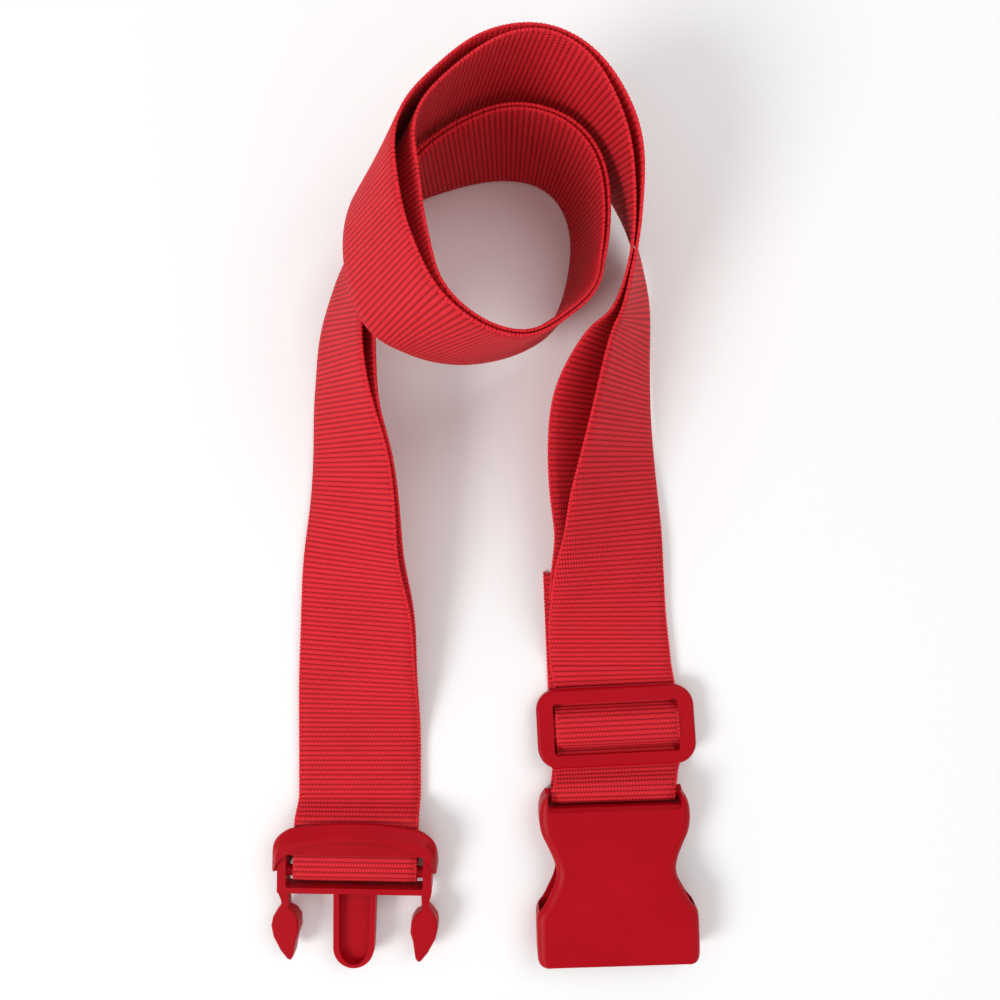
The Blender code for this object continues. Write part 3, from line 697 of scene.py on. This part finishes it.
# One half of the socket's outline, from the middle of its open end round to the webbing's end.
mouth = INSERT_WIDTH / 2 + 0.0016
shoulder = LANE / 2 + 0.0044
waist = INSERT_WIDTH / 2 - 0.0070
ear = 0.0018
side = (
    (mouth - 0.0060, -SOCKET_LENGTH),
    (mouth - 0.0036, -SOCKET_LENGTH),
    (mouth - 0.0008, -SOCKET_LENGTH + 0.0012),
    (mouth, -SOCKET_LENGTH + 0.0048),
    (mouth, -0.0510),
    (mouth - 0.0006, -0.0468),
    (mouth - 0.0034, -0.0430),
    (waist + 0.0030, -0.0388),
    (waist + 0.0009, -0.0345),
    (waist, -0.0300),
    (waist + 0.0010, -0.0252),
    (shoulder - 0.0033, -0.0200),
    (shoulder - 0.0011, -0.0150),
    (shoulder - 0.0002, -0.0098),
    (shoulder - 0.0004, -0.0052),
    (shoulder - 0.0014, -0.0016),
    (shoulder - 0.0030, ear - 0.0014),
    (shoulder - 0.0046, ear - 0.0002),
    (shoulder - 0.0062, ear),
)
outline = rounded_through(list(side) + [(-x, y) for x, y in reversed(side)])
half = BUCKLE_HEIGHT / 2
SIDE_DROP, SIDE_INSET, END_INSET = 0.0034, 0.0042, 0.0009
SHOULDER_START, SHOULDER_RUN, SHOULDER_GAIN = 0.0080, 0.0060, 0.0016


def rounded_side(height, share):
    """The socket's outline at one height, drawn in by a share of its broad rounded sides."""
    ring = []
    for k, (x, y) in enumerate(outline):
        before, after = Vector(outline[k - 1]), Vector(outline[(k + 1) % len(outline)])
        edge = (after - before).normalized()
        by_bar = min(max(y + SHOULDER_START, 0) / SHOULDER_RUN, 1)
        side_inset = SIDE_INSET - SHOULDER_GAIN * by_bar
        ring.append((x - edge.y * side_inset * share, y + edge.x * END_INSET * share, height))
    return ring


shell_rings = []
for k in range(7):
    tilt = math.radians(15 * k)
    shell_rings.append(
        rounded_side(-half + SIDE_DROP * (1 - math.cos(tilt)), 1 - math.sin(tilt))
    )
shell_rings += [[(x, y, -z) for x, y, z in ring] for ring in reversed(shell_rings)]
cavity_x, cavity_z = INSERT_WIDTH / 2 + 0.0004, INSERT_HEIGHT / 2 + 0.0004
cavity = rounded_box(cavity_x, -SOCKET_LENGTH - BEYOND, -SOCKET_LENGTH + 0.044, 0.0015)
# The notch is open below the webbing's bend, close to it in the middle and chamfered at the top.
notch_floor = -LOOP_RADIUS - THICKNESS / 2
NOTCH_HALF, NOTCH_CORNER, CHAMFER_DROP = LANE / 2 + 0.0005, 0.0010, 0.0016
below, middle, chamfer = notch_floor - 0.0006, notch_floor - 0.0002, notch_floor - 0.0017
notch = [
    [(x, y, z) for x, y in rounded_box(NOTCH_HALF, low, ear + BEYOND, NOTCH_CORNER)]
    for low, z in (
        (below, -2 * half),
        (below, 0.0),
        (middle, half - CHAMFER_DROP),
        (chamfer, half),
        (chamfer, 2 * half),
    )
]
socket = moulded(
    "buckle_socket",
    layered(shell_rings),
    [
        ("DIFFERENCE", slab(cavity, -cavity_z, cavity_z)),
        ("DIFFERENCE", layered(notch)),
        ("UNION", cross_bar(LANE / 2 + 0.0015, BAR_RADIUS)),
    ],
    socket_place,
)
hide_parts("socket")
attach(socket, "socket")

# ---------------------------------------------------------------- plug
# The male half, moulded in one: a sloping hood over the bar that the webbing goes round, an
# open frame, a recessed guide tongue in the middle and a springing barb at each side.

HOOD_START, HOOD_UNDERCUT = 0.0013, 0.0042
HOOD_HALF = INSERT_WIDTH / 2 + 0.0020
HOOD_ARCH, HOOD_CORNER = 0.0030, 0.0085
CREST_FALL = 0.0044
RAIL_END = -0.0079
slot_half = LOOP_RADIUS + THICKNESS / 2 + 0.0003


def hood_ring(height, far, crest_drop=None):
    """The hood's outline at one height; the top one falls away in an arch from its middle."""
    corner = HOOD_CORNER
    low = far - HOOD_ARCH
    ring = [(HOOD_HALF, HOOD_START), (HOOD_HALF, (HOOD_START + low - corner) / 2)]
    for k in range(9):
        a = math.pi / 2 * k / 8
        ring.append((HOOD_HALF - corner * (1 - math.cos(a)), low - corner * (1 - math.sin(a))))
    for k in range(1, 12):
        ring.append(((HOOD_HALF - corner) * (1 - k / 12), low))
    ring = ring + [(0.0, low)] + [(-x, y) for x, y in reversed(ring)]
    rise = HOOD_HALF - 0.5 * corner
    ring = [(x, y + HOOD_ARCH * max(1 - abs(x / rise) ** 2.0, 0)) for x, y in ring]
    if crest_drop is not None:
        draw = 1 - 0.6 * (height - slot_half) / HOOD_HALF
        ring = [
            (x * draw, min(y, crest_drop - CREST_FALL * abs(x / HOOD_HALF) ** 2.2)) for x, y in ring
        ]
    return [(x, y, height) for x, y in ring]


hood = layered(
    [
        hood_ring(-half, HOOD_LENGTH - HOOD_UNDERCUT),
        hood_ring(-0.0020, HOOD_LENGTH - 0.0004),
        hood_ring(slot_half, HOOD_LENGTH + 0.0024),
        hood_ring(slot_half + 0.0009, HOOD_LENGTH + 0.0024, 0.0206),
        hood_ring(half - 0.0016, HOOD_LENGTH, 0.0186),
        hood_ring(half - 0.0006, HOOD_LENGTH, 0.0166),
        hood_ring(half, HOOD_LENGTH, 0.0150),
    ]
)
insert = INSERT_HEIGHT / 2
rails = rounded_box(INSERT_WIDTH / 2, RAIL_END, HOOD_START + 0.0015, 0.0008)
window = rounded_box(LANE / 2 + 0.0014, -0.0056, 0.0077, 0.0008)
slot = rounded_box(LANE / 2, 0.0, HOOD_LENGTH + 0.006, 0.0005)
arch_half, arch_rise = 0.0322, 0.0130
under_arch = []
for k in range(33):
    x = arch_half * math.cos(math.pi * k / 32)
    under_arch.append((x, HOOD_START + arch_rise * (1 - abs(x / arch_half) ** 2.6) ** 0.55))
under_arch += [(-arch_half, HOOD_START - BEYOND), (arch_half, HOOD_START - BEYOND)]
tongue_end = RAIL_END - 0.0308
tongue = [(0.0090, RAIL_END + 0.0008), (0.0086, RAIL_END - 0.0010), (0.0085, RAIL_END - 0.0120)]
for k in range(25):
    a = math.pi * k / 24
    tongue.append((0.0083 * math.cos(a), tongue_end + 0.0083 - 0.0083 * math.sin(a)))
tongue += [(-x, y) for x, y in reversed(tongue[:3])]
recess = [(x * 0.72, RAIL_END - 0.0010 + (y - RAIL_END) * 0.925) for x, y in tongue]
plug = moulded(
    "buckle_plug",
    hood,
    [
        ("UNION", slab(rails, -insert, insert)),
        ("UNION", slab(tongue, -0.0025, 0.0025)),
        ("DIFFERENCE", slab(under_arch, insert + 0.0004, 2 * half)),
        ("DIFFERENCE", slab(window, -2 * half, 2 * half)),
        ("DIFFERENCE", slab(slot, -slot_half, slot_half)),
        ("DIFFERENCE", slab(recess, -0.0008, half)),
        ("UNION", cross_bar(LANE / 2 + 0.0029, BAR_RADIUS)),
    ],
    plug_place,
    edge=0.0005,
)
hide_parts("plug_body")
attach(plug, "plug")


def barb(name, sign, body, node):
    """A flat springing stem that ends in a barbed head, thicker than the stem."""
    outer, inner = INSERT_WIDTH / 2, INSERT_WIDTH / 2 - 0.0042
    reach = outer + 0.0030
    far = reach - 0.0112
    root = RAIL_END - 0.0003
    inward = 0.0009 if sign < 0 else 0.0  # the left barb is set nearer the tongue
    corners = (
        (outer, root, 2.6), (outer - 0.0008, root - 0.0030, 2.6),
        (outer - 0.0010, root - 0.0050, 2.8),
        (outer + 0.0004, root - 0.0066, 3.4), (reach - 0.0006, root - 0.0096, 4.2),
        (reach, root - 0.0130, 4.5), (reach - 0.0010, root - 0.0175, 4.5),
        (reach - 0.0040, root - 0.0232, 4.3), (reach - 0.0068, root - 0.0268, 3.9),
        (reach - 0.0080, root - 0.0272, 3.8), (reach - 0.0090, root - 0.0256, 3.9),
        (far + 0.0012, root - 0.0190, 4.3), (far, root - 0.0150, 4.5),
        (far + 0.0003, root - 0.0108, 4.5),
        (far + 0.0020, root - 0.0080, 3.8), (inner + 0.0006, root - 0.0062, 3.0),
        (inner + 0.0002, root - 0.0030, 2.6), (inner, root, 2.6),
    )
    rings = []
    for level in (-1, -0.86, 0.86, 1):
        tuck = 0.0007 if abs(level) == 1 else 0.0
        cx = sum(x for x, _, _ in corners) / len(corners)
        cy = sum(y for _, y, _ in corners) / len(corners)
        ring = []
        for x, y, tall in corners:
            pull = tuck / math.hypot(x - cx, y - cy)
            if y == root:
                pull = 0.0
            shift = inward * min((root - y) / 0.0060, 1)
            ring.append(
                (sign * (x - shift + (cx - x) * pull), y + (cy - y) * pull, level * tall * MM)
            )
        rings.append(ring)
    piece = moulded(name, layered(rings), [], plug_place, edge=0.0003)
    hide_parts(node)
    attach(piece, body)


barb("plug_barb_left", -1, "prong_left", "plug_prong_left")
barb("plug_barb_right", 1, "prong_right", "plug_prong_right")

# ---------------------------------------------------------------- tri-glide slider
# A flat rounded frame with a centre bar, moulded in one; the webbing comes up through one slot,
# goes over the bar and down through the other, doubled on the free end.

SLIDER_HALF = WIDTH / 2 + 0.00205 + 0.0052
TOP, DROP, THROUGH = 0.0036, 0.0024, 0.02
inner_x, inner_y = SLIDER_HALF - 0.0052, SLIDER_LENGTH / 2 - 0.0058
frame_outline = rounded_box(SLIDER_HALF, -SLIDER_LENGTH / 2, SLIDER_LENGTH / 2, 0.0085, 12)
openings = rounded_box(WIDTH / 2 + 0.0005, -inner_y - 0.0005, inner_y, 0.0014)
under = rounded_box(inner_x, -SLIDER_LENGTH / 2 - BEYOND, SLIDER_LENGTH / 2 + BEYOND, 0.0002)
slider = moulded(
    "tri_glide_slider",
    slab(frame_outline, -DROP, TOP),
    [
        ("DIFFERENCE", slab(openings, -THROUGH, THROUGH)),
        ("DIFFERENCE", slab(under, -THROUGH, 0.0)),
        ("UNION", cross_bar(inner_x + 0.0015, 0.0024, 0.0, -0.0008, squash=0.66)),
    ],
    slider_place @ Matrix.Translation((0, 0, SLIDER_UNDERSIDE)),
    first_round=0.0016,
    edge=0.0005,
)
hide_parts("tri_glide")
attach(slider, "slider")

# ---------------------------------------------------------------- stage
# A plain pale table top, soft light from all round and a camera straight above the belt.

bpy.ops.mesh.primitive_plane_add(size=6.0, location=(0, 0, -0.0003))
floor = bpy.context.active_object
floor.name = "floor"
floor_look, shader, wire = finish_of("pale_table", 0.85)
shader.inputs["Base Color"].default_value = (0.95, 0.95, 0.95, 1)
floor.data.materials.append(floor_look)

world = bpy.data.worlds.new("studio")
bpy.context.scene.world = world
world.use_nodes = True
world.node_tree.nodes["Background"].inputs[0].default_value = (1, 1, 1, 1)
world.node_tree.nodes["Background"].inputs[1].default_value = 0.58


def soft_light(name, place, aim, size, power):
    light = bpy.data.lights.new(name, "AREA")
    light.shape = "DISK"
    light.size = size
    light.energy = power
    lamp = bpy.data.objects.new(name, light)
    lamp.location = place
    lamp.rotation_euler = (Vector(aim) - Vector(place)).to_track_quat("-Z", "Y").to_euler()
    bpy.context.scene.collection.objects.link(lamp)


soft_light("key", (-1.2, -0.7, 1.2), (0, 0, 0), 0.8, 17)
soft_light("fill", (0.8, 0.7, 1.5), (0, 0, 0), 1.2, 8)

bpy.context.scene.view_settings.view_transform = "Standard"
camera_data = bpy.data.cameras.new("camera")
camera_data.lens = 32.8
camera_data.sensor_width = 36.0
camera_data.clip_start = 0.01
camera = bpy.data.objects.new("camera", camera_data)
camera.location = (ORIGIN.x, ORIGIN.y, 0.380)
bpy.context.scene.collection.objects.link(camera)
bpy.context.scene.camera = camera
